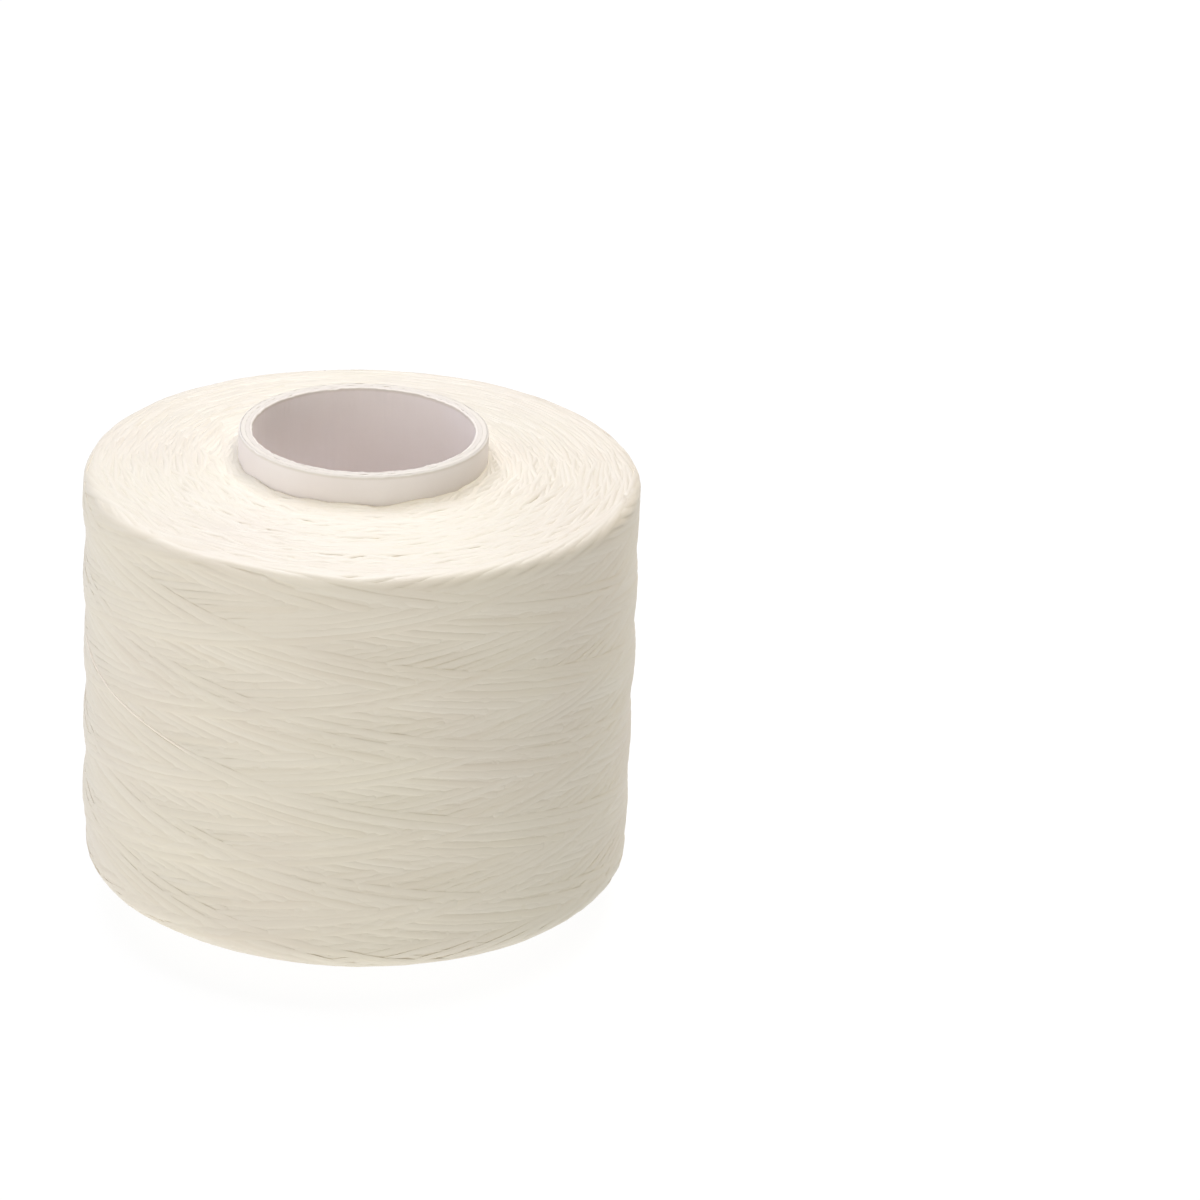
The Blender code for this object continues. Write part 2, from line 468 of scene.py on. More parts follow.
def press_flush(thread, flush_side, flush_ends):
    """Centre, outward normal, width and thickness of each sample, pressed flush."""
    column, z, r, lean, _ = thread.T
    spot = column.astype(int) % COLUMNS
    row = np.clip(nearest_row(z), 0, ROWS - 1)
    ring = np.clip(nearest_ring(r), 0, RINGS - 1)
    end = nearest_end(z)
    side_top = r + HALF_THICKNESS * np.cos(lean)
    end_top = above_face(z, end) + HALF_THICKNESS * np.abs(np.sin(lean))
    side_press = pressing(side_top - flush_side[spot, row], SIDE_RELIEF)
    end_press = pressing(end_top - flush_ends[end, spot, ring], END_RELIEF)
    out, up = surface_way(r, z)
    width = SPREAD_WIDTH["side"] * out**2 + SPREAD_WIDTH["end"] * up**2
    thickness = SPREAD_THICKNESS["side"] * out**2 + SPREAD_THICKNESS["end"] * up**2
    thinner = HALF_THICKNESS - thickness / 2
    r = r - side_press * out**2 + thinner * out
    z = z - end_press * up * np.abs(up) + thinner * up
    angle = column_angle(column, thread)
    radial = np.stack([np.cos(angle), np.sin(angle), np.zeros(len(angle))], axis=1)
    centre = radial * r[:, None]
    centre[:, 2] = z
    normal = radial * out[:, None]
    normal[:, 2] = up
    return centre, normal, width, thickness


# ---------------------------------------------------------------- strands as meshes
# Section of the pressed strand: (across, out) as shares of half its width and half its thickness.
# The last two corners are its underside, which is sunk into the winding below. The edges along
# the border corners stay sharp, and three quads close each end.
SECTION = np.array(
    [(-1, -1), (-0.74, 0), (-0.3, 0.88), (0.3, 0.88), (0.74, 0), (1, -1), (0.9, -1), (-0.9, -1)]
)
UNDERSIDE = (6, 7)
SUNK = 0.2
BORDERS = (0, 5, 6, 7)
CAP_QUADS = ([0, 1, 2, 7], [2, 3, 6, 7], [3, 4, 5, 6])
# Distance between a strand's sections, and between two runs of a strand in the material's pattern
SAMPLE_STEP = 1.6
RUN_SPACING = 3
# Samples by which a run goes on under its neighbours, and how deep it goes there
TUCK = 5
TUCK_DEPTH = 0.3
# Mean Z part of a run's outward direction, beyond which it belongs to an end face
RUN_ON_END = 0.4

# Where the last strand lies loose, in degrees before its end, its size and rise there, and its
# tone, which stands out from the pressed strands' tones as a painted highlight: a paler colour
# in place of the light that the raised strand catches
LOOSE_STRETCH = (178, 234)
LOOSE_FADE = 8
LOOSE_WIDTH = 0.42
LOOSE_THICKNESS = 0.16
LOOSE_RISE = 0.03
LOOSE_HIGHLIGHT_TONE = 6
# The length over which the last end is tucked in, and how deep it goes
LAST_TUCK = 8
LAST_TUCK_DEPTH = 0.5


def spans(mask):
    """Start and end (exclusive) of each run of True."""
    edge = np.diff(np.concatenate([[0], mask.astype(np.int8), [0]]))
    return np.nonzero(edge == 1)[0], np.nonzero(edge == -1)[0]


def widen(mask):
    """Each run of True, grown by one sample each way."""
    grown = mask.copy()
    grown[1:] |= mask[:-1]
    grown[:-1] |= mask[1:]
    return grown


def tuck_under(shows):
    """The samples to build, and how deep each is tucked under its neighbours."""
    built, tucked = shows, np.zeros(len(shows))
    for step in range(1, TUCK + 1):
        wider = widen(built)
        tucked[wider & ~built] = TUCK_DEPTH * step / TUCK
        built = wider
    return built, tucked


def directions(centre):
    """Direction of the thread at each sample."""
    along = np.empty_like(centre)
    along[2:-2] = centre[4:] - centre[:-4]
    along[:2] = along[2]
    along[-2:] = along[-3]
    return along / np.linalg.norm(along, axis=1)[:, None]


def distances(centre):
    """Distance along the thread to each sample."""
    return np.cumsum(np.linalg.norm(np.diff(centre, axis=0, prepend=centre[:1]), axis=1))


def sampled(mask, distance):
    """Samples to keep: both ends of each run, and one for each step along it."""
    step = np.floor(distance / SAMPLE_STEP)
    keep = mask & np.concatenate([[True], step[1:] != step[:-1]])
    starts, ends = spans(mask)
    keep[starts] = True
    keep[ends - 1] = True
    return np.nonzero(keep)[0]


def section_points(centre, normal, along, width, thickness):
    """Corners of the section at each sample, and their places in it."""
    side_way = np.cross(along, normal)
    side_way /= np.linalg.norm(side_way, axis=1)[:, None]
    out = np.cross(side_way, along)
    wide = width[:, None] / 2 * SECTION[:, 0]
    high = thickness[:, None] / 2 * SECTION[:, 1]
    high[:, UNDERSIDE] -= SUNK
    points = (
        centre[:, None]
        + side_way[:, None] * wide[:, :, None]
        + out[:, None] * high[:, :, None]
    )
    return points, wide, high


def section_faces(run, count):
    """Quads along each run of sections, and the caps at its ends."""
    sides = len(SECTION)
    index = np.arange(count * sides).reshape(count, sides)
    joined = np.nonzero(run[1:] == run[:-1])[0]
    here, after = index[joined], index[joined + 1]
    quads = np.stack([here, np.roll(here, -1, 1), np.roll(after, -1, 1), after], axis=2)
    first = np.nonzero(np.concatenate([[True], run[1:] != run[:-1]]))[0]
    last = np.nonzero(np.concatenate([run[1:] != run[:-1], [True]]))[0]
    start, end = index[first], index[last]
    caps = [ring[:, corners] for ring in (start[:, ::-1], end) for corners in CAP_QUADS]
    return np.concatenate([quads.reshape(-1, 4), *caps])


def link_object(name, data):
    """A new object in the scene for this mesh, lamp or camera."""
    item = bpy.data.objects.new(name, data)
    bpy.context.scene.collection.objects.link(item)
    return item


def strand_mesh(name, picked, centre, normal, along, run, distance, tone, width, thickness):
    """Sweeps the section along each run of the picked samples, as one mesh of closed pieces."""
    points, wide, high = section_points(
        centre[picked], normal[picked], along[picked], width[picked], thickness[picked]
    )
    count, sides = len(picked), len(SECTION)
    faces = section_faces(run, count)
    mesh = bpy.data.meshes.new(name)
    mesh.vertices.add(count * sides)
    mesh.vertices.foreach_set("co", (points * MM).ravel())
    mesh.loops.add(faces.size)
    mesh.loops.foreach_set("vertex_index", faces.ravel())
    mesh.polygons.add(len(faces))
    mesh.polygons.foreach_set("loop_start", np.arange(0, faces.size, 4))
    mesh.polygons.foreach_set("use_smooth", np.ones(len(faces), bool))

    # For the material: place along and across the strand, and the stroke's tone, which along the
    # last strand's loose stretch carries a painted highlight
    place = np.zeros((count, sides, 3))
    place[:, :, 0] = distance[picked, None]
    place[:, :, 1] = wide + RUN_SPACING * run[:, None]
    place[:, :, 2] = high
    fibre = mesh.attributes.new("fibre", "FLOAT_VECTOR", "POINT")
    fibre.data.foreach_set("vector", place.ravel())
    shade = mesh.attributes.new("tone", "FLOAT", "POINT")
    shade.data.foreach_set("value", np.repeat(tone[picked], sides))
    mesh.update(calc_edges=True)

    edges = np.empty(2 * len(mesh.edges), int)
    mesh.edges.foreach_get("vertices", edges)
    corner = edges.reshape(-1, 2) % sides
    border = (corner[:, 0] == corner[:, 1]) & np.isin(corner[:, 0], BORDERS)
    sharp = mesh.attributes.new("sharp_edge", "BOOLEAN", "EDGE")
    sharp.data.foreach_set("value", border)
    return link_object(name, mesh)


def build_strands(thread, shows, centre, normal, width, thickness):
    """One piece for each layer of the winding and each region that it shows in."""
    rng = np.random.default_rng(TONE_SEED)
    shown, tucked = tuck_under(shows)
    centre = centre - normal * tucked[:, None]
    along = directions(centre)
    distance = distances(centre)
    stroke = thread[:, 4].astype(int)
    tone = rng.normal(0, 1, stroke[-1] + 1)[stroke]
    last_stroke = stroke == stroke[-1]
    radius = TUBE_RADIUS + (PACKAGE_RADIUS - TUBE_RADIUS) * stroke / stroke[-1]
    lean_sum = np.concatenate([[0], np.cumsum(normal[:, 2])])
    pieces = []
    inner = 0.0
    for layer in WINDING_LAYERS:
        outer = node_reach(layer)[0]
        mask = shown & (radius > inner) & (radius <= outer) & ~last_stroke
        inner = outer
        starts, ends = spans(mask)
        mean_lean = (lean_sum[ends] - lean_sum[starts]) / (ends - starts)
        upper, lower = mean_lean > RUN_ON_END, mean_lean < -RUN_ON_END
        rising = stroke[starts] % 2 == 0
        regions = {
            "upper_end": upper,
            "lower_end": lower,
            "side_rising": ~upper & ~lower & rising,
            "side_falling": ~upper & ~lower & ~rising,
        }
        for place, chosen in regions.items():
            if not chosen.any():
                continue
            change = np.zeros(len(thread) + 1, int)
            change[starts[chosen]] = 1
            change[ends[chosen]] -= 1
            run = np.cumsum(np.maximum(change[:-1], 0))
            picked = sampled(np.cumsum(change[:-1]) > 0, distance)
            mesh = strand_mesh(
                f"{layer}_{place}", picked, centre, normal, along,
                run[picked], distance, tone, width, thickness,
            )
            pieces.append((layer, mesh))
    return pieces


def build_last_strand(thread, centre, normal, width, thickness):
    """The newest strand. It is flush like the others, but for a stretch where it lies loose."""
    last = thread[:, 4] == thread[-1, 4]
    column, centre, normal = thread[last, 0], centre[last], normal[last]
    width, thickness = width[last], thickness[last]
    distance = distances(centre)
    before_end = 360 * (column[-1] - column) / COLUMNS
    start, end = LOOSE_STRETCH
    fade_in = np.clip((before_end - start) / LOOSE_FADE, 0, 1)
    fade_out = np.clip((end - before_end) / LOOSE_FADE, 0, 1)
    loose = fade_in * fade_out
    buried = np.clip(1 - (distance[-1] - distance) / LAST_TUCK, 0, 1) ** 2
    centre = centre + normal * (LOOSE_RISE * loose - LAST_TUCK_DEPTH * buried)[:, None]
    width = width + (LOOSE_WIDTH - width) * loose
    thickness = thickness + (LOOSE_THICKNESS - thickness) * loose
    picked = sampled(np.ones(len(centre), bool), distance)
    one_run = np.zeros(len(picked), int)
    # Along the loose stretch the tone carries a painted highlight, in place of the light the
    # strand catches
    return strand_mesh(
        "thread_last_strand", picked, centre, normal, directions(centre),
        one_run, distance, LOOSE_HIGHLIGHT_TONE * loose, width, thickness,
    )


# ---------------------------------------------------------------- turned meshes
# Depth of the solid winding under the visible strands
SIDE_CORE_DEPTH = 0.085
SHOULDER_CORE_DEPTH = 0.07
END_CORE_DEPTH = 0.17
# Spacing of the core's points: columns of the map, up the side and along an end face
CORE_COLUMNS = 4
CORE_SIDE_STEP = 1.2
CORE_END_STEP = 0.9
# Distance of an end face's points from the tube and from the shoulder, and the gap that the
# core leaves round the tube
TUBE_CLEARANCE = 0.8
SHOULDER_CLEARANCE = 0.4
CORE_GAP = 0.02
# Points round a shoulder, and the turn left clear at both its ends
TURN_POINTS = 9
TURN_CLEARANCE = 0.05
# Turn at which the side's map starts to give way to the end's, and the further turn until it has
BLEND_START = 0.6
BLEND_SPAN = 0.4


def mesh_from_grid(name, grid):
    """A closed ring of quads from points [angle, profile], closed both ways round."""
    columns, rows, _ = grid.shape
    index = np.arange(columns * rows).reshape(columns, rows)
    right = np.roll(index, -1, 0)
    quads = np.stack([index, right, np.roll(right, -1, 1), np.roll(index, -1, 1)], axis=2)
    mesh = bpy.data.meshes.new(name)
    mesh.from_pydata((grid * MM).reshape(-1, 3), [], quads.reshape(-1, 4).tolist())
    mesh.shade_smooth()
    return link_object(name, mesh)


def ring_grid(angles, radii, heights):
    """Points of a turned shape, from radius and height by [angle, profile]."""
    across = np.cos(angles)[:, None] * radii
    along = np.sin(angles)[:, None] * radii
    return np.stack([across, along, heights], axis=2)


def side_radius(flush_side, column, heights):
    """Radius of the finished side at some columns and heights."""
    return flush_side[column][:, nearest_row(heights)]


def end_rise(flush_end, column, radii):
    """Rise of a finished end face over its edge's plane at some columns and radii."""
    return flush_end[column][:, nearest_ring(radii)]


def core_end(end, column, flush_side, flush_end):
    """Radii and heights of one end of the core, from the side over the shoulder to the tube."""
    outwards, face = (1, FACE_HIGH) if end == UPPER else (-1, FACE_LOW)
    shoulder = SHOULDER[end]
    corner_radius, corner_height = PACKAGE_RADIUS - shoulder, face - outwards * shoulder

    # Round the shoulder, from the side's map to the end's map
    turn = np.linspace(TURN_CLEARANCE, np.pi / 2 - TURN_CLEARANCE, TURN_POINTS)
    over = np.clip((turn - BLEND_START) / BLEND_SPAN, 0, 1)
    arc_radii = corner_radius + shoulder * np.cos(turn)
    arc_heights = corner_height + outwards * shoulder * np.sin(turn)
    on_side = side_radius(flush_side, column, arc_heights)
    on_end = face + outwards * end_rise(flush_end, column, arc_radii)
    arc_path = on_side * (1 - over) + arc_radii * over - SHOULDER_CORE_DEPTH * np.cos(turn)
    sunk = outwards * SHOULDER_CORE_DEPTH * np.sin(turn)
    arc_climb = arc_heights * (1 - over) + on_end * over - sunk

    # Over the end face and down the tube
    innermost, outermost = TUBE_RADIUS + TUBE_CLEARANCE, corner_radius - SHOULDER_CLEARANCE
    end_radii = np.arange(innermost, outermost, CORE_END_STEP)[::-1]
    end_heights = face + outwards * (end_rise(flush_end, column, end_radii) - END_CORE_DEPTH)
    wall = np.full((len(column), 1), TUBE_RADIUS + CORE_GAP)
    flat_radii = np.broadcast_to(end_radii, end_heights.shape)
    radii = np.concatenate([arc_path, flat_radii, wall], axis=1)
    heights = np.concatenate([arc_climb, end_heights, end_heights[:, -1:]], axis=1)
    return radii, heights


def build_core(thread, flush_side, flush_ends):
    """The solid winding just below the visible strands, following the same waves."""
    column = np.arange(0, COLUMNS, CORE_COLUMNS)
    side_start = FACE_LOW + SHOULDER[LOWER] + CORE_SIDE_STEP
    side_end = FACE_HIGH - SHOULDER[UPPER] - CORE_SIDE_STEP / 2
    side_heights = np.arange(side_start, side_end, CORE_SIDE_STEP)
    side_radii = side_radius(flush_side, column, side_heights) - SIDE_CORE_DEPTH
    low_radii, low_heights = core_end(LOWER, column, flush_side, flush_ends[LOWER])
    high_radii, high_heights = core_end(UPPER, column, flush_side, flush_ends[UPPER])
    even_heights = np.broadcast_to(side_heights, side_radii.shape)
    radii = np.concatenate([low_radii[:, ::-1], side_radii, high_radii], axis=1)
    heights = np.concatenate([low_heights[:, ::-1], even_heights, high_heights], axis=1)
    grid = ring_grid(column_angle(column, thread), radii, heights)
    return mesh_from_grid("thread_winding_core", grid)


# Share of the tube's wall taken by each glued ply, from the bore outwards
PLIES = (
    ("tube_bore_liner", 0.16, "white_paper"),
    ("tube_inner_ply", 0.34, "paper_board"),
    ("tube_outer_ply", 0.34, "paper_board"),
    ("tube_outer_wrap", 0.16, "white_paper"),
)
PLY_GAP = 0.01
TUBE_SEGMENTS = 360
# Rounding of a ply's edge at the rim: between plies, towards the bore and on the outside
PLY_EDGE = 0.04
BORE_EDGE = 0.22
OUTER_EDGE = 0.3
EDGE_POINTS = 5
# The rim is cut a little short of the CAD tube's end, and unevenly, with burrs on the points near
# the bore. Its sway, its cut and its burrs have these sizes and counts of crests.
RIM_SHORT = 0.06
RIM_SWAY, SWAY_CRESTS = 0.05, range(2, 9)
RIM_CUT, CUT_CRESTS = 0.05, range(12, 60)
BURR, BURR_CRESTS = 0.11, range(14, 80)
BURR_REACH = 0.1
# Heights of the rings of points up the tube, as shares of its height
UP_THE_TUBE = (0.05, 0.5, 0.95)


def rim_profile(inner, outer, inner_edge, outer_edge):
    """Radius and depth below the rim of the points across a ply's rounded cut edge."""
    turns = np.linspace(0, np.pi / 2, EDGE_POINTS)
    shares = [(1 - math.sin(turn), 1 - math.cos(turn)) for turn in turns]
    inside = [(inner + inner_edge * across, inner_edge * down) for across, down in shares]
    outside = [(outer - outer_edge * across, outer_edge * down) for across, down in shares]
    return inside[::-1] + outside


def build_tube():
    """Each ply as a turned ring with a cut, slightly uneven rim."""
    rng = np.random.default_rng(PAPER_SEED)
    angles = np.linspace(0, 2 * np.pi, TUBE_SEGMENTS, endpoint=False)
    wall = TUBE_RADIUS - BORE_RADIUS
    sway = [waves(rng, angles, SWAY_CRESTS, RIM_SWAY) for _ in (LOWER, UPPER)]
    pieces = []
    inner = BORE_RADIUS
    for name, share, slot in PLIES:
        outer = inner + wall * share
        inside = inner + (PLY_GAP if inner > BORE_RADIUS else 0)
        inner_edge = BORE_EDGE if name == "tube_bore_liner" else PLY_EDGE
        outer_edge = OUTER_EDGE if name == "tube_outer_wrap" else PLY_EDGE
        rim = rim_profile(inside, outer, inner_edge, outer_edge)
        radii, heights = [], []
        for end in (LOWER, UPPER):
            edge, inwards = (TUBE_HIGH, -1) if end == UPPER else (TUBE_LOW, 1)
            cut = np.abs(sway[end] + waves(rng, angles, CUT_CRESTS, RIM_CUT))
            burrs = np.abs(waves(rng, angles, BURR_CRESTS, BURR))
            for radius, depth in rim if end == LOWER else rim[::-1]:
                has_burr = name == "tube_bore_liner" and radius < inside + BURR_REACH
                radii.append(radius - burrs * has_burr)
                heights.append(edge + inwards * (RIM_SHORT + cut + depth))
            for share_up in UP_THE_TUBE:
                travelled = 1 - share_up if end == UPPER else share_up
                radii.append(np.full(len(angles), inside if end == UPPER else outer))
                height = TUBE_LOW + (TUBE_HIGH - TUBE_LOW) * travelled
                heights.append(np.full(len(angles), height))
        grid = ring_grid(angles, np.stack(radii, axis=1), np.stack(heights, axis=1))
        pieces.append((name, slot, mesh_from_grid(f"{name}_paper", grid)))
        inner = outer
    return pieces


# ---------------------------------------------------------------- stage, light, camera
# The camera's distances are in package radii, and its sight in metres. Its aim point is on the
# spool's axis, and it lies off the middle of the view, to the left and below.
CAMERA_LENS = 156
CAMERA_SIGHT = 10
CAMERA_ELEVATION = math.radians(23.81)
CAMERA_ROLL = math.radians(2.31)
CAMERA_DISTANCE = 18.91
CAMERA_ACROSS = -0.8765
CAMERA_UP = -0.2841
AIM_HEIGHT = 0.7

# The lights: name, place and width in metres, watts and colour
LIGHTS = (
    ("overhead", (-0.08, 0.3, 0.9), 1.0, 8.8, (0.99, 1.02, 1.18)),
    ("over_right", (0.3, -0.05, 0.9), 0.6, 3.3, (1.03, 0.98, 0.87)),
    ("left_fill", (-1.03, 0.1, 0.16), 0.7, 1.4, (1, 0.97, 1.18)),
    ("front_fill", (-0.5, -0.86, 0.28), 0.7, 4.1, (1, 0.98, 0.94)),
    ("rear_glow", (0.7, 0.7, 0.25), 0.6, 0.8, (1.2, 0.9, 0.5)),
)
# How bright the room is to everything but the camera
ROOM_GLOW = 0.02
# The floor's radius in metres, its glow, and its gap below the tube
FLOOR_RADIUS = 6
FLOOR_GLOW = 0.92
FLOOR_GAP = 0.05
WHITE = (1, 1, 1, 1)


def place_camera():
    """The camera looks along +Y from above, turned a little about its own axis."""
    ahead = Vector((0, math.cos(CAMERA_ELEVATION), -math.sin(CAMERA_ELEVATION)))
    level = Vector((1, 0, 0))
    lift = level.cross(ahead)
    right = math.cos(CAMERA_ROLL) * level + math.sin(CAMERA_ROLL) * lift
    up = math.cos(CAMERA_ROLL) * lift - math.sin(CAMERA_ROLL) * level
    aim = Vector((0, 0, FACE_LOW / PACKAGE_RADIUS + AIM_HEIGHT))
    spot = aim - (CAMERA_ACROSS * right + CAMERA_UP * up + CAMERA_DISTANCE * ahead)
    lens = bpy.data.cameras.new("camera")
    lens.lens = CAMERA_LENS
    lens.clip_end = CAMERA_SIGHT
    camera = link_object("camera", lens)
    turned = Matrix((right, up, -ahead)).transposed().to_4x4()
    camera.matrix_world = Matrix.Translation(spot * PACKAGE_RADIUS * MM) @ turned
    bpy.context.scene.camera = camera


def add_light(name, place, size, power, colour):
    """A round soft light that faces the middle of the spool."""
    lamp = bpy.data.lights.new(name, "AREA")
    lamp.shape = "DISK"
    lamp.size = size
    lamp.energy = power
    lamp.color = colour
    light = link_object(name, lamp)
    light.location = place
    middle = Vector((0, 0, (TUBE_LOW + TUBE_HIGH) / 2 * MM))
    light.rotation_euler = (middle - light.location).to_track_quat("-Z", "Y").to_euler()


def build_stage():
    """A flat white floor that glows a little, as a table lit from below does."""
    bpy.ops.mesh.primitive_circle_add(vertices=96, radius=FLOOR_RADIUS, fill_type="NGON")
    floor = bpy.context.object
    floor.name = "floor"
    floor.location.z = (TUBE_LOW - FLOOR_GAP) * MM
    material = bpy.data.materials.new("pale_floor")
    material.use_nodes = True
    shader = material.node_tree.nodes["Principled BSDF"]
    shader.inputs["Base Color"].default_value = (0.1, 0.1, 0.1, 1)
    shader.inputs["Roughness"].default_value = 0.9
    shader.inputs["Specular IOR Level"].default_value = 0.1
    shader.inputs["Emission Color"].default_value = WHITE
    shader.inputs["Emission Strength"].default_value = FLOOR_GLOW
    floor.data.materials.append(material)


def light_scene():
    """A dim room that the camera sees as plain white, and the lights."""
    world = bpy.data.worlds.new("studio")
    world.use_nodes = True
    tree = world.node_tree
    glow = tree.nodes["Background"]
    glow.inputs["Color"].default_value = WHITE
    glow.inputs["Strength"].default_value = ROOM_GLOW
    backdrop = tree.nodes.new("ShaderNodeBackground")
    backdrop.inputs["Color"].default_value = WHITE
    rays = tree.nodes.new("ShaderNodeLightPath")
    choice = tree.nodes.new("ShaderNodeMixShader")
    tree.links.new(rays.outputs["Is Camera Ray"], choice.inputs["Fac"])
    tree.links.new(glow.outputs["Background"], choice.inputs[1])
    tree.links.new(backdrop.outputs["Background"], choice.inputs[2])
    tree.links.new(choice.outputs["Shader"], tree.nodes["World Output"].inputs["Surface"])
    bpy.context.scene.world = world
    for light in LIGHTS:
        add_light(*light)
    bpy.context.scene.view_settings.view_transform = "Standard"


# ---------------------------------------------------------------- materials
class Shading:
    """A material's node tree, with short calls for the nodes used here."""

    # A Mix node's two colour sockets, and its colour output
    MIX_COLOURS = (6, 7)
    MIX_RESULT = 2

    def __init__(self, name):
        self.material = bpy.data.materials.new(name)
        self.material.use_nodes = True
        self.tree = self.material.node_tree
        self.shader = self.tree.nodes["Principled BSDF"]

    def link(self, source, node, socket):
        if isinstance(source, bpy.types.NodeSocket):
            self.tree.links.new(source, node.inputs[socket])
        else:
            node.inputs[socket].default_value = source

    def attribute(self, name):
        node = self.tree.nodes.new("ShaderNodeAttribute")
        node.attribute_name = name
        return node

    def position(self):
        return self.tree.nodes.new("ShaderNodeTexCoord").outputs["Object"]

    def height(self, vector):
        node = self.tree.nodes.new("ShaderNodeSeparateXYZ")
        self.tree.links.new(vector, node.inputs["Vector"])
        return node.outputs["Z"]

    def stretched(self, vector, scale):
        node = self.tree.nodes.new("ShaderNodeMapping")
        self.tree.links.new(vector, node.inputs["Vector"])
        node.inputs["Scale"].default_value = scale
        return node.outputs["Vector"]

    def noise(self, vector, scale=1.0, detail=3.0, roughness=0.5):
        node = self.tree.nodes.new("ShaderNodeTexNoise")
        self.tree.links.new(vector, node.inputs["Vector"])
        node.inputs["Scale"].default_value = scale
        node.inputs["Detail"].default_value = detail
        node.inputs["Roughness"].default_value = roughness
        return node.outputs["Fac"]

    def specks(self, vector, scale, radius):
        """1 within scattered dots of different sizes, 0 outside them."""
        cells = self.tree.nodes.new("ShaderNodeTexVoronoi")
        self.tree.links.new(vector, cells.inputs["Vector"])
        cells.inputs["Scale"].default_value = scale
        chance = self.tree.nodes.new("ShaderNodeSeparateColor")
        self.tree.links.new(cells.outputs["Color"], chance.inputs["Color"])
        reach = self.ramp(chance.outputs["Red"], 0.4, 1.0, 0.0, radius)
        return self.math("LESS_THAN", cells.outputs["Distance"], reach)

    def math(self, operation, *values):
        node = self.tree.nodes.new("ShaderNodeMath")
        node.operation = operation
        for socket, value in enumerate(values):
            self.link(value, node, socket)
        return node.outputs["Value"]

    def ramp(self, value, low, high, to_low, to_high):
        """The value's span from low to high, mapped to to_low and to_high."""
        node = self.tree.nodes.new("ShaderNodeMapRange")
        self.link(value, node, "Value")
        node.inputs["From Min"].default_value = low
        node.inputs["From Max"].default_value = high
        node.inputs["To Min"].default_value = to_low
        node.inputs["To Max"].default_value = to_high
        return node.outputs["Result"]

    def blend(self, share, first, second):
        node = self.tree.nodes.new("ShaderNodeMix")
        node.data_type = "RGBA"
        self.link(share, node, "Factor")
        for value, socket in zip((first, second), self.MIX_COLOURS):
            self.link((*value, 1) if isinstance(value, tuple) else value, node, socket)
        return node.outputs[self.MIX_RESULT]

    def bump(self, height, strength, distance):
        node = self.tree.nodes.new("ShaderNodeBump")
        node.inputs["Strength"].default_value = strength
        node.inputs["Distance"].default_value = distance
        self.tree.links.new(height, node.inputs["Height"])
        return node.outputs["Normal"]

    def use(self, **sources):
        """Drives the shader's sockets. A socket's spaces are underscores here."""
        for socket, source in sources.items():
            self.tree.links.new(source, self.shader.inputs[socket.replace("_", " ")])


WAX_CREAM = (0.77, 0.71, 0.57)
WAX_WARM = (0.745, 0.67, 0.55)
WAX_PALE = (0.805, 0.755, 0.645)
DUST = (0.46, 0.37, 0.28)
# Painted highlight on the last strand where it lies loose: a paler colour in place of the light
# that the raised strand catches
LOOSE_STRAND_HIGHLIGHT = (0.94, 0.86, 0.73)

# Colour of each ply, of its darker mottling and of its cut rim
PLY_COLOURS = {
    "tube_bore_liner": ((0.97, 0.91, 0.88), (0.95, 0.88, 0.84), (0.8, 0.74, 0.66)),
    "tube_inner_ply": ((0.77, 0.71, 0.65), (0.64, 0.58, 0.52), (0.71, 0.66, 0.58)),
    "tube_outer_ply": ((0.77, 0.71, 0.65), (0.64, 0.58, 0.52), (0.74, 0.69, 0.6)),
    "tube_outer_wrap": ((0.95, 0.9, 0.86), (0.9, 0.84, 0.8), (0.79, 0.74, 0.66)),
}
# Scale of the fibres' pattern and roughness of each kind of paper
PAPER_FINISH = {"white_paper": (2500, 0.85), "paper_board": (3500, 0.92)}
# Stretch at each end of the tube that has its cut rim's colour, and the one next to it where the
# colour fades
RIM_DULL = 0.3
RIM_FADE = 0.4
# Depth of the materials' fine relief
FILAMENT_RELIEF = 0.06
FIBRE_RELIEF = 0.08


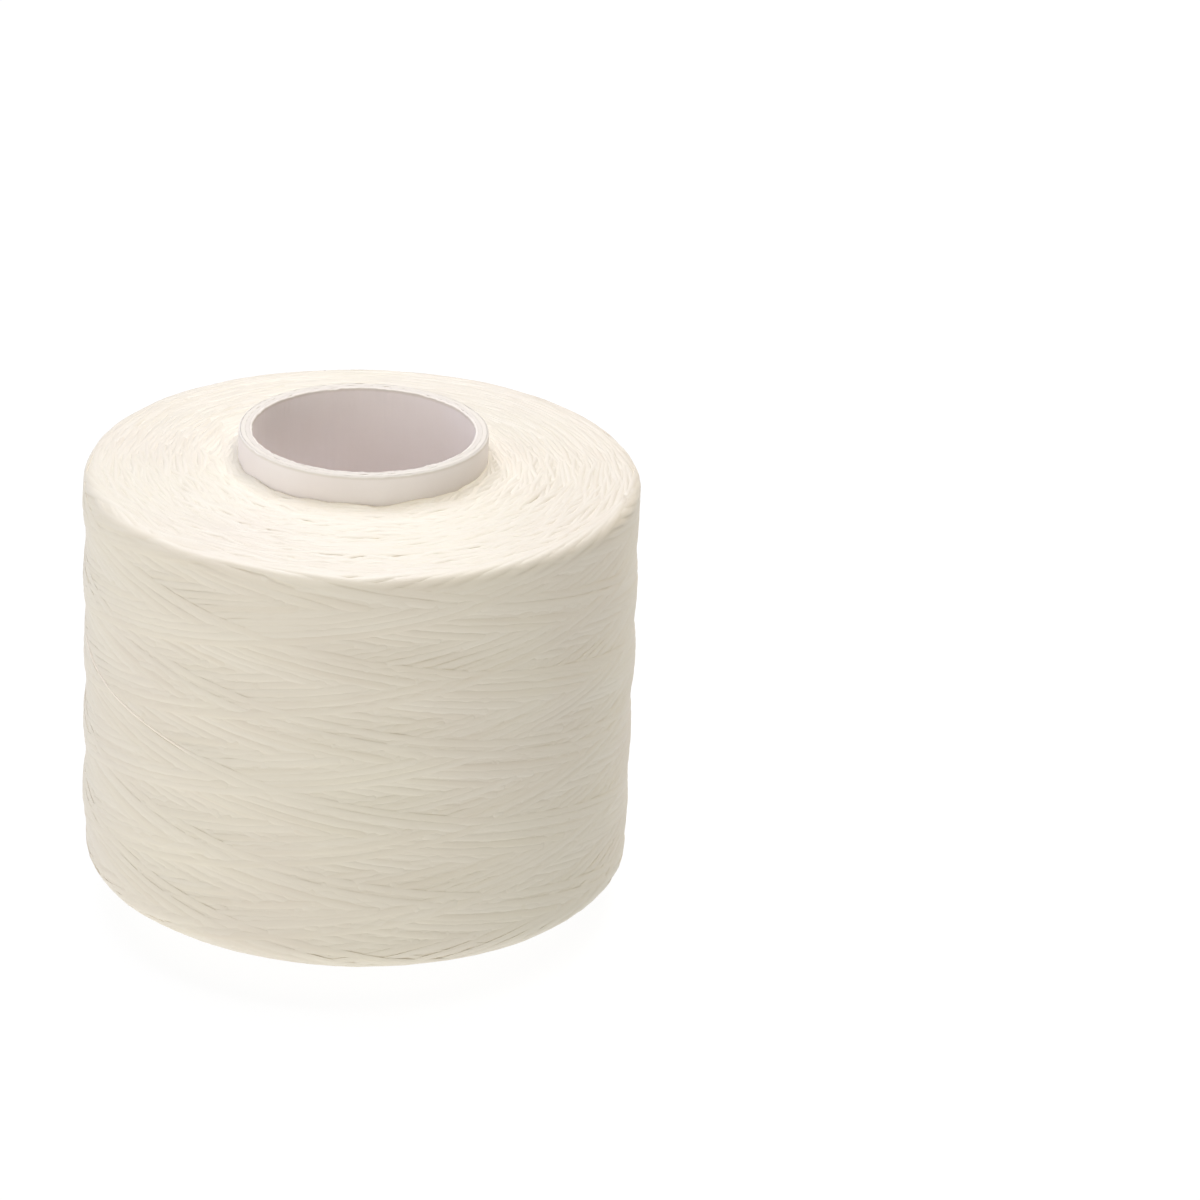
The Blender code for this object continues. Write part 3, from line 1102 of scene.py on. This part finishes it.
def thread_material():
    """Waxed thread: cream wax over fine filaments that run along it, with specks of dust, and a
    painted highlight where the last strand lies loose.

    Patterns on the fibre have their scales per millimetre, and those on the place per metre.
    """
    wax = Shading("waxed_thread")
    fibre = wax.attribute("fibre").outputs["Vector"]
    tone = wax.attribute("tone").outputs["Fac"]
    place = wax.position()
    filaments = wax.noise(wax.stretched(fibre, (0.06, 7, 1)), detail=4, roughness=0.6)
    smears = wax.noise(wax.stretched(fibre, (0.03, 1.2, 1)), detail=2)
    clouds = wax.noise(place, scale=45, detail=3)
    tint = wax.blend(wax.ramp(clouds, 0.35, 0.65, 0, 1), WAX_WARM, WAX_CREAM)
    tint = wax.blend(wax.ramp(tone, -2.5, 2.5, 0, 0.6), tint, WAX_PALE)
    tint = wax.blend(wax.ramp(smears, 0.35, 0.7, 0, 0.35), tint, WAX_PALE)
    tint = wax.blend(wax.specks(place, scale=130, radius=0.03), tint, DUST)
    # Painted highlight: the last strand's loose stretch turns paler, in place of the light it
    # catches
    tint = wax.blend(wax.ramp(tone, 3.5, LOOSE_HIGHLIGHT_TONE, 0, 1), tint, LOOSE_STRAND_HIGHLIGHT)
    wax.use(Base_Color=tint, Roughness=wax.ramp(filaments, 0.3, 0.7, 0.38, 0.56))
    wax.use(Normal=wax.bump(filaments, 0.25, FILAMENT_RELIEF * MM))
    return wax.material


def paper_material(name, colour, shade, rim, fibre_scale, roughness):
    """Paper or board: pressed fibres, faint mottling, a duller cut rim and a matt surface."""
    paper = Shading(name)
    place = paper.position()
    fibres = paper.noise(place, scale=fibre_scale, detail=6, roughness=0.65)
    clouds = paper.noise(place, scale=70, detail=3)
    tint = paper.blend(paper.ramp(clouds, 0.35, 0.65, 0, 1), shade, colour)
    tint = paper.blend(paper.ramp(fibres, 0.55, 0.75, 0, 0.5), tint, shade)
    middle, half = (TUBE_LOW + TUBE_HIGH) / 2 * MM, (TUBE_HIGH - TUBE_LOW) / 2 * MM
    from_middle = paper.math("ABSOLUTE", paper.math("SUBTRACT", paper.height(place), middle))
    full = half - RIM_DULL * MM
    near_rim = paper.ramp(from_middle, full - RIM_FADE * MM, full, 0, 1)
    tint = paper.blend(near_rim, tint, rim)
    paper.use(Base_Color=tint, Roughness=paper.ramp(fibres, 0.3, 0.7, roughness - 0.06, roughness))
    paper.use(Normal=paper.bump(fibres, 0.35, FIBRE_RELIEF * MM))
    return paper.material


# ---------------------------------------------------------------- the spool
def add_piece(piece, node, material):
    """Gives a piece its material, hangs it on the root body, and hides the CAD node it stands for.
    """
    piece.data.materials.append(material)
    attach(piece, "root")
    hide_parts(node)


def main():
    build_stage()
    light_scene()
    place_camera()
    thread, side, ends = wind_thread()
    shows = seen(thread, side, ends)
    flush_side, flush_ends = flush_maps(side, ends)
    pressed = press_flush(thread, flush_side, flush_ends)
    wax = thread_material()
    for node, piece in build_strands(thread, shows, *pressed):
        add_piece(piece, node, wax)
    add_piece(build_last_strand(thread, *pressed), "thread_last_end", wax)
    core = build_core(thread, flush_side, flush_ends)
    add_piece(core, "thread_first_end", wax)
    for node, slot, piece in build_tube():
        paper = paper_material(f"{node}_paper", *PLY_COLOURS[node], *PAPER_FINISH[slot])
        add_piece(piece, node, paper)


main()
